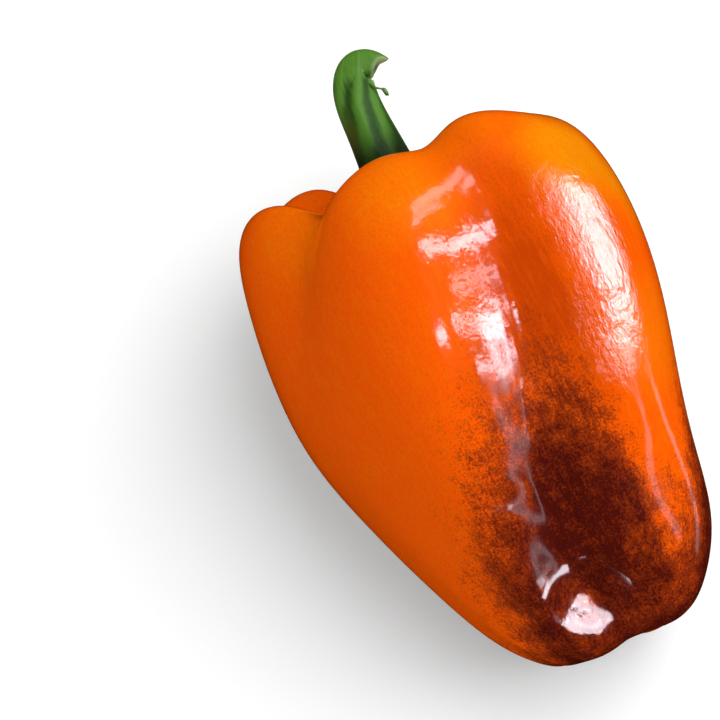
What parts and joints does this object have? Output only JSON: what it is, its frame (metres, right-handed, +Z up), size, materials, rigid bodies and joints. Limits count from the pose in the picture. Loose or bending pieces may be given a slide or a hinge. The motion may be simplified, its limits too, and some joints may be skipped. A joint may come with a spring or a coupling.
{
  "type": "bell pepper",
  "caption": "Whole tapered bell pepper lying on its side, with deep furrows between its lobes and a curved green stem on a star-shaped calyx.",
  "frame": {"origin": "middle of the whole pepper's box, on the surface that it lies on", "axes": "+Y along the pepper's length towards the stem, +Z up from the surface, +X to the right of the side that faces up"},
  "size_m": [0.0854, 0.1408, 0.0832],
  "materials": {
    "orange_skin": "smooth waxy skin, orange with a maroon blush at the blossom end",
    "green_stem": "ribbed green stem, dull sheen"
  },
  "bodies": {
    "root": {"fruit": "orange_skin", "stem_calyx": "green_stem"}
  },
  "joints": []
}
